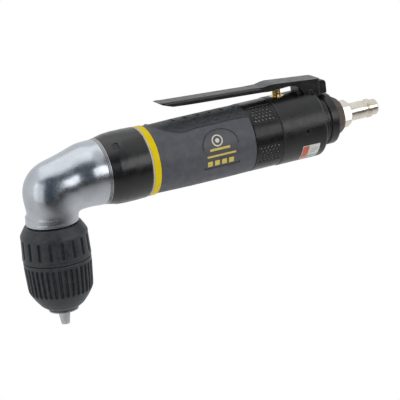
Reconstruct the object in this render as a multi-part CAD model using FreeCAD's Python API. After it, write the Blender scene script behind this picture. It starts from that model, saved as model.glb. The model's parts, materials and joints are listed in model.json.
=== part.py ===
import FreeCAD, Part
import math
import os

# Compressed-air angle drill with a keyless chuck, in millimetres.
# Origin: centre of the jaw tips, on the drilling axis. +Z runs up the drilling axis to the head,
# +X runs back along the handle to the air inlet, and the side with the badge faces -Y.

Vec = FreeCAD.Vector
X = Vec(1, 0, 0)
Y = Vec(0, 1, 0)
Z = Vec(0, 0, 1)

# driving dimensions
AXIS_Z = 79.0            # height of the handle's axis above the jaw tips
RUN = 0.06               # radial clearance of a running fit

# stations along the handle (X)
X_HEAD = 28.8            # back face of the head
X_COUPLING = 30.6        # front face of the coupling nut
X_SPACER = 53.6
X_TRIM = 54.6
X_GRIP = 58.4
X_EXHAUST = 116.3
X_VALVE = 133.4
X_CAP = 161.4
X_BUSH = 172.2
X_NIPPLE = 178.0
X_END = 203.0

# radii of the handle's outside
R_HEAD = 17.8
R_COUPLING = 19.7
R_TRIM = 19.3
R_GRIP = 19.2
R_EXHAUST = 19.1
R_VALVE = 19.4
R_CAP = 14.7
R_CAP_THREAD = 9.0

# motor case
R_CASE = 16.5
R_BORE = 14.0
R_GEARCASE = 17.6
R_FELT = 18.2            # outside of the silencer felt behind the vent holes
VENT_R = 0.65

# gears
MODULE = 0.65
SUN_TEETH = 9
PLANET_TEETH = 18
RING_TEETH = 45
BEVEL_MODULE = 1.1
PINION_TEETH = 12
WHEEL_TEETH = 18
PRESSURE = math.radians(20)
TOOTH_THIN = 0.86        # tooth thickness as a share of half the pitch, which leaves backlash
R_CARRIER = (SUN_TEETH + PLANET_TEETH) * MODULE / 2

# chuck
JAW_SLOPE = math.radians(14)
JAW_R = 2.9
JAW_START = -8.0         # height where the jaws' axes meet the drilling axis
JAW_LENGTH = 26.0
JAW_BORE = 1.0           # radius held by the jaws as drawn
R_SLEEVE = 18.3
Z_SLEEVE = 9.0
Z_JOINT = 37.4
Z_BACK = 56.8
RIB_COUNT = 36
PANEL_COUNT = 18

# throttle
X_PLUNGER = 141.0
X_PIVOT = 159.0
Z_PIVOT = AXIS_Z + 18.5
PLUNGER_R = 2.35


# helpers
def turned(points, along="Z"):
    """Solid of revolution from (radius, station) points."""
    wire = Part.makePolygon([Vec(r, 0, h) for r, h in points + points[:1]])
    solid = Part.Face(wire).revolve(Vec(0, 0, 0), Z, 360)
    if along == "X":
        solid.rotate(Vec(0, 0, 0), Y, 90)
        solid.translate(Vec(0, 0, AXIS_Z))
    return solid


def ring(r_out, r_in, start, end, along="Z"):
    if r_in <= 0:
        return turned([(0, start), (r_out, start), (r_out, end), (0, end)], along)
    return turned([(r_in, start), (r_out, start), (r_out, end), (r_in, end)], along)


def rod(radius, base, direction, length):
    return Part.makeCylinder(radius, length, base, direction)


def block(x0, x1, y0, y1, z0, z1):
    return Part.makeBox(x1 - x0, y1 - y0, z1 - z0, Vec(x0, y0, z0))


def side_plate(points, half_width):
    """Prism across Y from an outline of (x, height above the handle's axis) points."""
    wire = Part.makePolygon([Vec(x, -half_width, AXIS_Z + h) for x, h in points + points[:1]])
    return Part.Face(wire).extrude(Vec(0, 2 * half_width, 0))


def spun(shape, angle, centre=Vec(0, 0, 0), axis=Z):
    copy = shape.copy()
    copy.rotate(centre, axis, angle)
    return copy


def group(shapes):
    return Part.makeCompound(shapes)


def union(shapes):
    first = shapes[0]
    return first.fuse(shapes[1:]).removeSplitter() if len(shapes) > 1 else first


def write(shape, node):
    shape.exportStep("parts/" + node + ".step")


# bearings and gears
def ball_bearing(r_in, r_out, start, width, along):
    """Inner race, outer race and balls."""
    depth = r_out - r_in
    race = 0.27 * depth
    ball_r = 0.22 * depth
    pitch_r = (r_in + r_out) / 2
    middle = start + width / 2
    count = int(2 * math.pi * pitch_r / (2.9 * ball_r))
    pieces = [ring(r_out, r_out - race, start, start + width, along)]
    pieces.append(ring(r_in + race, r_in, start, start + width, along))
    for i in range(count):
        angle = 2 * math.pi * i / count
        across = pitch_r * math.cos(angle)
        up = pitch_r * math.sin(angle)
        if along == "Z":
            centre = Vec(across, up, middle)
        else:
            centre = Vec(middle, across, AXIS_Z + up)
        pieces.append(Part.makeSphere(ball_r, centre))
    return group(pieces)


def half_thickness(pitch_r, offset, module, thin):
    """Half of an involute tooth's thickness at a distance from the pitch circle."""
    base = pitch_r * math.cos(PRESSURE)
    radius = pitch_r + offset
    angle = math.acos(base / radius) if radius > base else 0.0
    spread = math.tan(angle) - angle
    start = math.tan(PRESSURE) - PRESSURE
    return radius * (thin * math.pi * module / 4 / pitch_r + start - spread)


def gear_outline(teeth, module, addendum, dedendum, thin):
    """Closed outline of a spur gear as (x, y) points, with a tooth on the x axis."""
    pitch_r = teeth * module / 2
    offsets = [-dedendum, -dedendum / 2, 0, addendum / 2, addendum]
    points = []
    for i in range(teeth):
        middle = 2 * math.pi * i / teeth
        flank = [(pitch_r + o, half_thickness(pitch_r, o, module, thin) / (pitch_r + o))
                 for o in offsets]
        for radius, half in flank:
            points.append((radius, middle - half))
        for radius, half in reversed(flank):
            points.append((radius, middle + half))
    return [(r * math.cos(a), r * math.sin(a)) for r, a in points]


def spur_gear(teeth, addendum, dedendum, thin, start, end, turn):
    """Spur gear on the handle's axis, turned by an angle in degrees."""
    outline = gear_outline(teeth, MODULE, addendum, dedendum, thin)
    points = [Vec(start, -x, AXIS_Z + y) for x, y in outline]
    solid = Part.Face(Part.makePolygon(points + points[:1])).extrude(Vec(end - start, 0, 0))
    return spun(solid, turn, Vec(0, 0, AXIS_Z), X)


def tapered_block(low, high):
    """Solid between two like outlines of points, with flat sides."""
    count = len(low)
    faces = [Part.Face(Part.makePolygon(low + low[:1])), Part.Face(Part.makePolygon(high + high[:1]))]
    for i in range(count):
        j = (i + 1) % count
        faces.append(Part.Face(Part.makePolygon([low[i], low[j], high[j], high[i], low[i]])))
    return Part.Solid(Part.Shell(faces))


def bevel_gear(teeth, mate_teeth, hub, turn):
    """Bevel gear about Z with its cone's tip at the origin and its teeth above it.

    The hub outline is (radius, distance from the tip) points, which continue from the
    outer root of the teeth round to the inner root.
    """
    module = BEVEL_MODULE
    cone = math.atan2(teeth, mate_teeth)
    pitch_r = teeth * module / 2
    depth = mate_teeth * module / 2
    addendum = 0.8 * module
    dedendum = 1.2 * module
    inner = 0.7
    virtual_r = pitch_r / math.cos(cone)

    def corner(offset, scale, away=0.0):
        r = (pitch_r + offset * math.cos(cone)) * scale + away * math.sin(cone)
        h = (depth - offset * math.sin(cone)) * scale + away * math.cos(cone)
        return (r, h)

    root = [corner(-dedendum, inner), corner(-dedendum, 1.0)]
    blank = turned(root + hub)
    zone = turned([corner(-dedendum - 0.4, 1.0), corner(addendum, 1.0),
                   corner(addendum, inner), corner(-dedendum - 0.4, inner)])

    def section(height):
        corners = []
        for offset in (-dedendum - 0.4, -dedendum / 2, 0, addendum / 2, addendum, addendum + 0.5):
            r, h = corner(offset, 1.0)
            real_r = pitch_r + offset * math.cos(cone)
            half = max(half_thickness(virtual_r, offset, module, TOOTH_THIN), 0.05) / real_r
            corners.append((r * height / h, half))
        outline = [(r * math.cos(a), -r * math.sin(a)) for r, a in corners]
        outline += [(r * math.cos(a), r * math.sin(a)) for r, a in reversed(corners)]
        return [Vec(x, y, height) for x, y in outline]

    tooth = tapered_block(section(depth * 0.45), section(depth * 1.35))
    tooth = tooth.common(zone)
    pieces = [blank]
    for i in range(teeth):
        pieces.append(spun(tooth, turn + 360 * i / teeth))
    return union(pieces)


# chuck
def jaw_axis(angle):
    outward = Vec(math.cos(angle), math.sin(angle), 0)
    return outward * math.sin(JAW_SLOPE) + Z * math.cos(JAW_SLOPE)


def jaw_rod(angle, radius, top):
    base = Vec(0, 0, JAW_START)
    return rod(radius, base, jaw_axis(angle), (top - JAW_START) / math.cos(JAW_SLOPE))


def chuck_jaw(angle):
    """Slanted round jaw with a pointed nose, cut back to the bore that it holds."""
    jaw = jaw_rod(angle, JAW_R, JAW_LENGTH)
    outward = Vec(math.cos(angle), math.sin(angle), 0)
    reach = 30.0
    gap = 0.2
    start = outward * gap
    left = Vec(math.cos(angle + math.pi / 3), math.sin(angle + math.pi / 3), 0) * reach
    right = Vec(math.cos(angle - math.pi / 3), math.sin(angle - math.pi / 3), 0) * reach
    wedge = Part.Face(Part.makePolygon([start, start + left, start + right, start]))
    wedge = wedge.extrude(Z * (JAW_LENGTH + 10))
    nose = turned([(0, 0), (2.25, 0), (3.55, 8.4), (6.2, 12.0), (15, 18), (15, 40), (0, 40)])
    jaw = jaw.common(wedge).common(nose)
    return jaw.cut(ring(JAW_BORE, 0, -1, 40))


def chuck_body():
    outline = [(0, 8.6), (6.3, 8.6), (6.3, 12.2), (9.0, 12.2), (13.2, 18.0), (13.2, 22.0),
               (9.9, 22.0), (9.9, 31.7), (15.7, 31.7), (15.7, 34.0), (13.2, 34.0),
               (13.2, 46.0), (16.0, 46.0), (16.0, 52.0), (13.0, 53.5), (0, 53.5)]
    body = turned(outline)
    body = body.cut(ring(5.3, 0, 8, 38))
    body = body.cut(ring(2.6, 0, 37, 41))
    body = body.cut(ring(4.75, 0, 40, 54))
    for i in range(3):
        body = body.cut(jaw_rod(i * 2 * math.pi / 3, JAW_R + 0.1, 46.0))
    return body


def sleeve_grooves(count, radius, depth, width, z0, z1, lean=0.0):
    """Upright cutters round a sleeve, each with rounded ends."""
    cutters = []
    for i in range(count):
        cutter = block(radius - depth, radius + 3, -width / 2, width / 2, z0, z1)
        cutter.rotate(Vec(radius - depth, 0, z1), Y, lean)
        cutters.append(spun(cutter, 360 * i / count))
    return group(cutters)


def chuck_front_sleeve():
    outer = [(8.0, Z_SLEEVE), (11.8, 12.0), (14.2, 15.0), (17.0, 19.6), (17.6, 22.5),
             (R_SLEEVE + 0.2, Z_JOINT - 0.6), (R_SLEEVE - 0.1, Z_JOINT)]
    inner = [(16.0, Z_JOINT), (16.0, 21.0), (13.8, 18.0), (9.5, 11.9), (6.9, 11.9),
             (6.9, Z_SLEEVE)]
    sleeve = turned(outer + inner)
    return sleeve.cut(sleeve_grooves(RIB_COUNT, 17.5, 0.35, 1.3, 18.6, 35.4, 2.6))


def chuck_rear_sleeve():
    outer = [(R_SLEEVE + 0.1, Z_JOINT + 0.4), (R_SLEEVE + 0.3, Z_JOINT + 1.2),
             (18.2, 51.6), (17.6, 53.0), (15.3, Z_BACK)]
    inner = [(9.6, Z_BACK), (9.6, 54.4), (16.0, 54.4), (16.0, Z_JOINT + 0.4)]
    sleeve = turned(outer + inner)
    return sleeve.cut(sleeve_grooves(PANEL_COUNT, 17.9, 0.6, 1.1, 40.6, 50.6))


def chuck_nut_halves():
    """Nut ring split in two so that it can be closed round the body's groove."""
    slope = math.tan(JAW_SLOPE)
    clear = JAW_R / math.cos(JAW_SLOPE) + 0.12

    def cone(z):
        return (z - JAW_START) * slope + clear

    nut = turned([(cone(22.1), 22.1), (16.0, 22.1), (16.0, 29.9), (cone(29.9), 29.9)])
    return nut.cut(block(-20, 20, -0.1, 0.1, 20, 32))


def chuck_thrust_bearing():
    """Washer and ball row between the nut and the body's shoulder."""
    pieces = [ring(15.4, 13.3, 31.2, 31.65)]
    count = 28
    ball_r = 0.6
    for i in range(count):
        angle = 2 * math.pi * i / count
        pieces.append(Part.makeSphere(ball_r, Vec(14.3 * math.cos(angle), 14.3 * math.sin(angle), 30.56)))
    return group(pieces)


def chuck_screw():
    head = ring(4.0, 0, 35.0, 38.0)
    shank = ring(2.45, 0, 38.0, 47.5)
    return union([head, shank]).cut(ring(1.7, 0, 34.9, 36.8))


def make_chuck():
    write(chuck_body(), "chuck_body")
    write(chuck_front_sleeve(), "chuck_front_sleeve")
    write(chuck_rear_sleeve(), "chuck_rear_sleeve")
    write(chuck_nut_halves(), "chuck_nut_halves")
    write(chuck_thrust_bearing(), "chuck_thrust_bearing")
    write(chuck_screw(), "chuck_screw")
    write(ring(8.1, 6.3, 8.2, Z_SLEEVE - 0.1), "chuck_nose_ring")
    for i in range(3):
        write(chuck_jaw(i * 2 * math.pi / 3), "chuck_jaw_%d" % (i + 1))


# angle head
def closed_curve(centre, first, second):
    """Smooth closed curve with the two given half-axes."""
    count = 24
    points = []
    for i in range(count):
        t = 2 * math.pi * i / count
        points.append(centre + first * math.cos(t) + second * math.sin(t))
    curve = Part.BSplineCurve()
    curve.interpolate(Points=points, PeriodicFlag=True)
    return Part.Wire(curve.toShape())


def elbow_section(angle, far, half_width):
    """Oval cut through the elbow, on a plane that swings about its inner corner."""
    corner = Vec(16.4, 0, AXIS_Z - 19.8)
    near = 2.0
    a = math.radians(angle)
    outward = Vec(-math.cos(a), 0, math.sin(a))
    half_length = (far - near) / 2
    centre = corner + outward * (near + half_length)
    return closed_curve(centre, outward * half_length, Y * half_width)


def head_housing():
    neck_r = 14.4
    sections = [elbow_section(0, 30.8, neck_r), elbow_section(20, 32.0, 14.4), elbow_section(34, 35.6, 14.6),
                elbow_section(47, 36.9, 14.9), elbow_section(69, 35.0, 15.5), elbow_section(90, 36.2, 16.3)]
    for x, radius in ((21.5, 17.5), (25.0, 17.7), (X_HEAD, R_HEAD)):
        sections.append(closed_curve(Vec(x, 0, AXIS_Z), Z * radius, Y * radius))
    head = Part.makeLoft(sections, True, False)
    neck = ring(neck_r - 0.15, 0, 57.8, 62.0)
    spigot = ring(15.5, 0, X_HEAD - 5.0, 35.6, "X")
    head = head.fuse([neck, spigot])
    head = head.cut(ring(12.2, 0, 57.0, 60.4))
    head = head.cut(ring(11.0, 0, 60.0, 66.5))
    head = head.cut(ring(10.9, 0, 66.0, 76.0))
    head = head.cut(ring(5.5, 0, 75.0, 83.8))
    head = head.cut(ring(8.3, 0, 6.2, 14.1, "X"))
    return head.cut(ring(9.5, 0, 14.0, 36.0, "X"))


def output_spindle():
    outline = [(0, 40.3), (4.7, 40.3), (4.7, 53.5), (6.6, 53.5), (6.6, 57.3), (5.0 - RUN, 57.3),
               (5.0 - RUN, 66.4), (4.9, 66.4), (4.9, 74.0), (4.0, 74.0), (4.0, 79.4),
               (2.5 - RUN, 79.4), (2.5 - RUN, 83.4), (0, 83.4)]
    return turned(outline).cut(ring(2.5, 0, 40.0, 50.0))


def driven_bevel_gear():
    gear = bevel_gear(WHEEL_TEETH, PINION_TEETH, [(8.0, 12.1), (4.9, 12.1), (4.9, 5.3)], 180 / WHEEL_TEETH)
    gear.rotate(Vec(0, 0, 0), X, 180)
    gear.translate(Vec(0, 0, AXIS_Z))
    return gear


def drive_bevel_pinion():
    gear = bevel_gear(PINION_TEETH, WHEEL_TEETH, [(5.6, 13.8), (0, 13.8), (0, 7.2)], 0)
    gear.rotate(Vec(0, 0, 0), Y, 90)
    gear.translate(Vec(0, 0, AXIS_Z))
    shaft = ring(4.0 - RUN, 0, 13.7, 34.0, "X")
    return union([gear, shaft])


def bearing_nut():
    nut = ring(12.2, 5.6, 57.9, 60.3)
    for side in (-1, 1):
        nut = nut.cut(rod(0.8, Vec(0, side * 9, 57.5), Z, 1.6))
    return nut


def head_joint_ring():
    outline = [(15.5, X_HEAD), (17.7, X_HEAD), (17.9, X_HEAD + 0.3), (17.5, X_HEAD + 0.6),
               (18.0, X_HEAD + 0.9), (17.6, X_HEAD + 1.2), (18.1, X_HEAD + 1.5),
               (18.1, X_COUPLING), (15.5, X_COUPLING)]
    return turned(outline, "X")


def make_head():
    write(head_housing(), "head_housing")
    write(output_spindle(), "output_spindle")
    write(driven_bevel_gear(), "driven_bevel_gear")
    write(drive_bevel_pinion(), "drive_bevel_pinion")
    write(ball_bearing(5.0, 11.0, 60.4, 6.0, "Z"), "spindle_lower_bearing")
    write(ball_bearing(2.5, 5.5, 79.6, 4.0, "Z"), "spindle_upper_bearing")
    write(ball_bearing(4.0, 9.5, 14.2, 5.0, "X"), "pinion_front_bearing")
    write(ball_bearing(4.0, 9.5, 20.6, 5.0, "X"), "pinion_rear_bearing")
    write(ring(9.5, 8.2, 19.2, 20.6, "X"), "pinion_bearing_spacer")
    write(ring(9.5, 6.6, 25.6, X_HEAD, "X"), "pinion_bearing_nut")
    write(bearing_nut(), "bearing_nut")
    write(head_joint_ring(), "head_joint_ring")


# planetary reduction
def planet_place(index):
    angle = 2 * math.pi * index / 3
    return Vec(0, -R_CARRIER * math.cos(angle), R_CARRIER * math.sin(angle))


def planet_carrier():
    disc = ring(13.2, 0, 35.8, 38.0, "X")
    hub = ring(6.2, 0, 29.6, 35.9, "X")
    carrier = union([disc, hub]).cut(ring(4.0 - RUN, 0, 29.0, 34.0, "X"))
    for i in range(3):
        carrier = carrier.cut(rod(1.5, Vec(35, 0, AXIS_Z) + planet_place(i), X, 4))
    return carrier


def planet_pins():
    return group([rod(1.5, Vec(35.8, 0, AXIS_Z) + planet_place(i), X, 11.4) for i in range(3)])


def planet_gear(index):
    pitch = 360 / PLANET_TEETH
    gear = spur_gear(PLANET_TEETH, 0.85 * MODULE, 1.2 * MODULE, TOOTH_THIN, 38.5, 46.5, pitch / 2)
    gear = gear.cut(ring(1.5 + RUN, 0, 38, 47, "X"))
    gear.translate(Vec(0, -R_CARRIER, 0))
    return spun(gear, -120 * index, Vec(0, 0, AXIS_Z), X)


def ring_gear():
    outside = ring(R_GEARCASE, 0, 36.0, 50.2, "X")
    hole = spur_gear(RING_TEETH, 1.2 * MODULE, 0.8 * MODULE, 2 - TOOTH_THIN, 35.0, 51.0,
                     180 / RING_TEETH)
    return outside.cut(hole)


def sun_gear():
    gear = spur_gear(SUN_TEETH, 0.85 * MODULE, 1.15 * MODULE, TOOTH_THIN, 38.6, 47.2, 0)
    return gear.cut(ring(1.2, 0, 38, 48, "X"))


def coupling_nut():
    """Nut that draws the head onto the motor case, with three notches for a hook spanner."""
    outline = [(15.5, X_COUPLING), (18.1, X_COUPLING), (19.3, 36.0), (R_COUPLING, 40.5),
               (R_COUPLING, 47.0), (19.5, 52.9), (19.2, X_SPACER), (R_GEARCASE, X_SPACER),
               (R_GEARCASE, 35.8), (15.5, 35.8)]
    nut = turned(outline, "X")
    for angle in (-50, 70, 190):
        notch = block(33.0, 38.2, -2.4, 2.4, AXIS_Z + 18.9, AXIS_Z + 21)
        nut = nut.cut(spun(notch, angle + 90, Vec(0, 0, AXIS_Z), X))
    return nut


def make_gearbox():
    write(planet_carrier(), "planet_carrier")
    write(planet_pins(), "planet_pins")
    for i in range(3):
        write(planet_gear(i), "planet_gear_%d" % (i + 1))
    write(ring_gear(), "ring_gear")
    write(sun_gear(), "sun_gear")
    write(coupling_nut(), "coupling_nut")


# air motor
ROTOR_START = 57.2
ROTOR_END = 97.2
ROTOR_R = 10.0
VANE_COUNT = 5
LINER_R = 11.2
LINER_OFFSET = 1.0


def vane_slot(index, thickness, bottom, top, start, end):
    vane = block(start, end, -thickness / 2, thickness / 2, AXIS_Z + bottom, AXIS_Z + top)
    return spun(vane, 360 * index / VANE_COUNT, Vec(0, 0, AXIS_Z), X)


def rotor():
    outline = [(0, 39.5), (1.2, 39.5), (1.2, 47.2), (3.0 - RUN, 47.2), (3.0 - RUN, ROTOR_START),
               (ROTOR_R, ROTOR_START), (ROTOR_R, ROTOR_END), (3.0 - RUN, ROTOR_END),
               (3.0 - RUN, 104.0), (0, 104.0)]
    body = turned(outline, "X")
    for i in range(VANE_COUNT):
        body = body.cut(vane_slot(i, 1.6, 4.6, 11.0, ROTOR_START - 1, ROTOR_END + 1))
    return body


def rotor_vanes():
    return group([vane_slot(i, 1.5, 4.7, 10.08, ROTOR_START + 0.1, ROTOR_END - 0.1)
                  for i in range(VANE_COUNT)])


def cylinder_liner():
    """Liner whose bore is off centre, with its inlet and exhaust ports."""
    liner = ring(R_BORE, 0, 57.0, 97.4, "X")
    bore = ring(LINER_R, 0, 56.0, 98.0, "X")
    bore.translate(Z * LINER_OFFSET)
    liner = liner.cut(bore)
    for i in range(5):
        x = 64 + 7 * i
        liner = liner.cut(rod(1.5, Vec(x, 0, AXIS_Z), Z, 20))
    return liner


def end_plate(start, end, bearing_start, bearing_end):
    plate = ring(R_BORE, 3.6, start, end, "X")
    return plate.cut(ring(8.0, 0, bearing_start, bearing_end, "X"))


def motor_case():
    outline = [(R_BORE, 50.2), (R_GEARCASE, 50.2), (R_GEARCASE, X_SPACER), (R_CASE, X_SPACER),
               (R_CASE, X_VALVE), (R_BORE, X_VALVE)]
    case = turned(outline, "X")
    for i in range(10):
        port = rod(1.7, Vec(119.6, 0, AXIS_Z), Z, 20)
        case = case.cut(spun(port, 36 * i + 18, Vec(0, 0, AXIS_Z), X))
    return case


def make_motor():
    write(rotor(), "rotor")
    write(rotor_vanes(), "rotor_vanes")
    write(cylinder_liner(), "cylinder_liner")
    write(end_plate(50.4, 57.0, 50.3, 54.6), "front_end_plate")
    write(end_plate(97.4, 104.6, 99.6, 104.7), "rear_end_plate")
    write(ball_bearing(3.0, 8.0, 50.6, 4.0, "X"), "rotor_front_bearing")
    write(ball_bearing(3.0, 8.0, 99.6, 4.0, "X"), "rotor_rear_bearing")
    write(ring(R_BORE, 9.5, 104.6, 108.6, "X"), "motor_lock_ring")
    write(motor_case(), "motor_case")


# handle
BADGE_X = 95.0
BADGE_HALF = 10.6
BADGE_SPRING = 4.5       # height of the badge's shoulders above the handle's axis
BADGE_FOOT = -8.0


def grip_outline():
    return [(R_CASE, X_GRIP), (18.7, X_GRIP), (18.9, 64.0), (R_GRIP, 80.0), (R_GRIP, 105.0),
            (19.0, X_EXHAUST), (R_CASE, X_EXHAUST)]


def badge_cutter(grow):
    """Shield with an arched top, reaching out through the grip's near side."""
    half = BADGE_HALF + grow
    top = AXIS_Z + BADGE_SPRING
    foot = AXIS_Z + BADGE_FOOT - grow
    left = Vec(BADGE_X - half, 0, top)
    right = Vec(BADGE_X + half, 0, top)
    crown = Vec(BADGE_X, 0, top + half * 0.85)
    toe_left = Vec(BADGE_X - half * 0.72, 0, foot)
    toe_right = Vec(BADGE_X + half * 0.72, 0, foot)
    arch = Part.Arc(left, crown, right).toShape()
    sides = [Part.LineSegment(right, toe_right).toShape(), Part.LineSegment(toe_right, toe_left).toShape(),
             Part.LineSegment(toe_left, left).toShape()]
    return Part.Face(Part.Wire([arch] + sides)).extrude(Vec(0, -30, 0))


def grip_sleeve():
    grip = turned(grip_outline(), "X")
    recess = ring(22, 18.6, X_GRIP, X_EXHAUST, "X").common(badge_cutter(0))
    return grip.cut(recess)


def badge_plate():
    return ring(19.35, 18.6, X_GRIP, X_EXHAUST, "X").common(badge_cutter(-0.1))


def vent_field(first_angle, side):
    """Shallow curved recess round one patch of vent holes."""
    low = first_angle - 4.5
    high = first_angle + 4 * 6.4 + 4.5
    band = Part.makeCylinder(R_EXHAUST + 1, 14.2, Vec(117.9, 0, AXIS_Z), X, high - low)
    band = band.cut(ring(R_EXHAUST - 0.2, 0, 117, 133, "X"))
    start = low if side == 1 else 180 - high
    return spun(band, start - 90, Vec(0, 0, AXIS_Z), X)


def exhaust_ring():
    """Exhaust deflector with two patches of small vent holes on each side."""
    outline = [(R_CASE, X_EXHAUST), (18.8, X_EXHAUST), (R_EXHAUST, X_EXHAUST + 0.6),
               (R_EXHAUST, X_VALVE - 0.5), (18.9, X_VALVE), (R_CASE, X_VALVE),
               (R_CASE, X_VALVE - 1.0), (R_FELT + 0.1, X_VALVE - 1.0),
               (R_FELT + 0.1, X_EXHAUST + 1.0), (R_CASE, X_EXHAUST + 1.0)]
    shell = turned(outline, "X")
    holes = []
    for side in (0, 1):
        for first_angle in (38.0, -36.0):
            shell = shell.cut(vent_field(first_angle, side))
            for row in range(5):
                for column in range(6 - row % 2):
                    x = 119.4 + 2.2 * column + 1.1 * (row % 2)
                    angle = first_angle + 6.4 * row
                    hole = rod(VENT_R, Vec(x, 0, AXIS_Z), -Y if side == 0 else Y, 25)
                    turn = -angle if side == 0 else angle
                    holes.append(spun(hole, turn, Vec(0, 0, AXIS_Z), X))
    return shell.cut(group(holes))


def make_handle():
    write(ring(19.2, R_CASE, X_SPACER, X_TRIM, "X"), "spacer_ring")
    trim = [(R_CASE, X_TRIM), (19.1, X_TRIM), (R_TRIM, X_TRIM + 0.3), (R_TRIM, X_GRIP - 0.3),
            (19.1, X_GRIP), (R_CASE, X_GRIP)]
    write(turned(trim, "X"), "trim_ring")
    write(grip_sleeve(), "grip_sleeve")
    write(badge_plate(), "badge_plate")
    write(exhaust_ring(), "exhaust_ring")
    write(ring(R_FELT, R_CASE, X_EXHAUST + 1.1, X_VALVE - 1.1, "X"), "silencer_felt")


# throttle valve
def rear_shoulder():
    """Rounded back edge of the valve housing as (radius, station) points on a quarter circle."""
    steps = 5
    rounding = 1.6
    points = []
    for i in range(steps + 1):
        a = math.pi / 2 * i / steps
        radius = R_VALVE - rounding + rounding * math.cos(a)
        points.append((radius, X_CAP - rounding + rounding * math.sin(a)))
    return points


def valve_housing():
    outline = [(11.2, 123.0), (R_BORE, 123.0), (R_BORE, X_VALVE), (18.9, X_VALVE),
               (R_VALVE, X_VALVE + 0.6)] + rear_shoulder() + [(0, X_CAP), (0, 130.0), (11.2, 130.0)]
    housing = turned(outline, "X")
    pedestal = side_plate([(152.6, 12.0), (152.6, 23.3), (168.4, 23.3), (169.6, 22.8), (170.2, 21.6),
                           (170.2, 15.7), (X_CAP - 0.4, 15.7), (X_CAP - 0.4, 12.0)], 4.6)
    housing = housing.fuse(pedestal)
    for side in (-1, 1):
        y0, y1 = sorted((side * 4.6, side * 7.6))
        housing = housing.cut(block(151.5, 168.2, y0, y1, AXIS_Z + 14.3, AXIS_Z + 30))
    housing = housing.cut(rod(1.5, Vec(X_PIVOT, -10, Z_PIVOT), Y, 20))
    # valve chamber, plunger bushing bore, seat and plug bore
    housing = housing.cut(rod(4.2, Vec(X_PLUNGER, 0, AXIS_Z + 9), Z, 12))
    housing = housing.cut(rod(5.0, Vec(X_PLUNGER, 0, AXIS_Z - 25), Z, 36))
    # air ways: in from the back, out above the seat
    housing = housing.cut(ring(4.0, 0, X_PLUNGER, 153.5, "X"))
    housing = housing.cut(ring(R_CAP_THREAD, 0, 152.5, X_CAP + 1, "X"))
    housing = housing.cut(rod(1.9, Vec(125.0, 0, AXIS_Z + 9.0), X, X_PLUNGER - 125.0))
    # recess for the set screw
    return housing.cut(rod(1.25, Vec(148.3, -15.0, AXIS_Z + 0.4), -Y, 6))


def valve_spring():
    """Coil spring under the valve, drawn as stacked turns of one helix."""
    pitch = 2.0
    height = 9.6
    radius = 3.0
    wire_r = 0.35
    helix = Part.makeHelix(pitch, height, radius)
    profile = Part.Wire(Part.Circle(Vec(radius, 0, 0), Y, wire_r).toShape())
    spring = Part.Wire(helix).makePipeShell([profile], True, True)
    spring.translate(Vec(X_PLUNGER, 0, AXIS_Z - 9.0))
    return spring


def valve_plug():
    plug = rod(5.0, Vec(X_PLUNGER, 0, AXIS_Z - 18.6), Z, 9.2)
    socket = Part.makePolygon([Vec(X_PLUNGER + 2 * math.cos(math.pi * i / 3), 2 * math.sin(math.pi * i / 3),
                                   AXIS_Z - 18.7) for i in range(7)])
    return plug.cut(Part.Face(socket).extrude(Z * 3))


def valve_plunger():
    """Brass plunger with a domed top and fine grooves in the stem that shows."""
    outline = [(0, 8.7), (PLUNGER_R, 8.7), (PLUNGER_R, 19.6), (2.1, 19.9), (PLUNGER_R, 20.2),
               (PLUNGER_R, 21.2), (2.1, 21.5), (PLUNGER_R, 21.8), (PLUNGER_R, 22.8), (2.1, 23.1),
               (PLUNGER_R, 23.4), (PLUNGER_R, 24.2), (1.7, 24.9), (0, 25.1)]
    plunger = turned(outline)
    plunger.translate(Vec(X_PLUNGER, 0, AXIS_Z))
    return plunger


def throttle_valve():
    valve = turned([(0, -2.0), (1.6, -2.0), (1.6, 1.2), (4.2, 1.2), (4.2, 3.9), (2.0, 3.9), (2.0, 8.6),
                    (0, 8.6)])
    valve.translate(Vec(X_PLUNGER, 0, AXIS_Z))
    return valve


def upright(r_out, r_in, low, high):
    piece = ring(r_out, r_in, low, high)
    piece.translate(Vec(X_PLUNGER, 0, AXIS_Z))
    return piece


def flange_outline(inset):
    """Side view of the lever's folded flange, from the tip back round the ear."""
    points = [(67.4 + inset, 30.6 - inset), (69.6 + inset, 29.2), (72.5 + inset, 28.2), (75.5, 27.2),
              (84.0, 26.5), (134.0, 23.7), (146.0, 24.3)]
    arch_x = 147.0
    arch_z = 15.6
    arch_r = 8.6
    for i in range(6):
        a = math.radians(84 - 15.5 * i)
        points.append((arch_x + arch_r * math.cos(a), arch_z + arch_r * math.sin(a)))
    ear_r = 3.0
    for i in range(4):
        a = math.radians(198 + 24 * i)
        points.append((X_PIVOT + ear_r * math.cos(a), 18.5 + ear_r * math.sin(a)))
    points += [(165.2, 15.5), (166.0, 16.4), (166.8, 24.8)]
    return points


def lever_top(drop):
    """Top line of the lever from back to front, with the step up to the wider rear part."""
    return [(166.8, 24.85 - drop), (137.5, 27.5 - drop), (134.8, 27.4 - drop), (130.5, 26.8 - drop),
            (99.3, 28.6 - drop), (69.5, 30.3 - drop)]


def lever_plan(inset, front):
    """Plan view of the lever as a prism, narrow in front and wider over the ears."""
    right = [(front, 2.6 - inset), (front + 1.2, 4.2 - inset), (front + 4.0, 5.2 - inset),
             (129.5, 5.2 - inset), (136.5, 6.3 - inset)]
    if inset == 0:
        right += [(164.2, 6.3), (165.2, 6.0), (165.8, 5.4), (166.0, 4.6)]
    else:
        right.append((167.4, 6.3 - inset))
    left = [(x, -y) for x, y in reversed(right)]
    wire = Part.makePolygon([Vec(x, y, AXIS_Z) for x, y in right + left + right[:1]])
    return Part.Face(wire).extrude(Z * 40)


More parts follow.
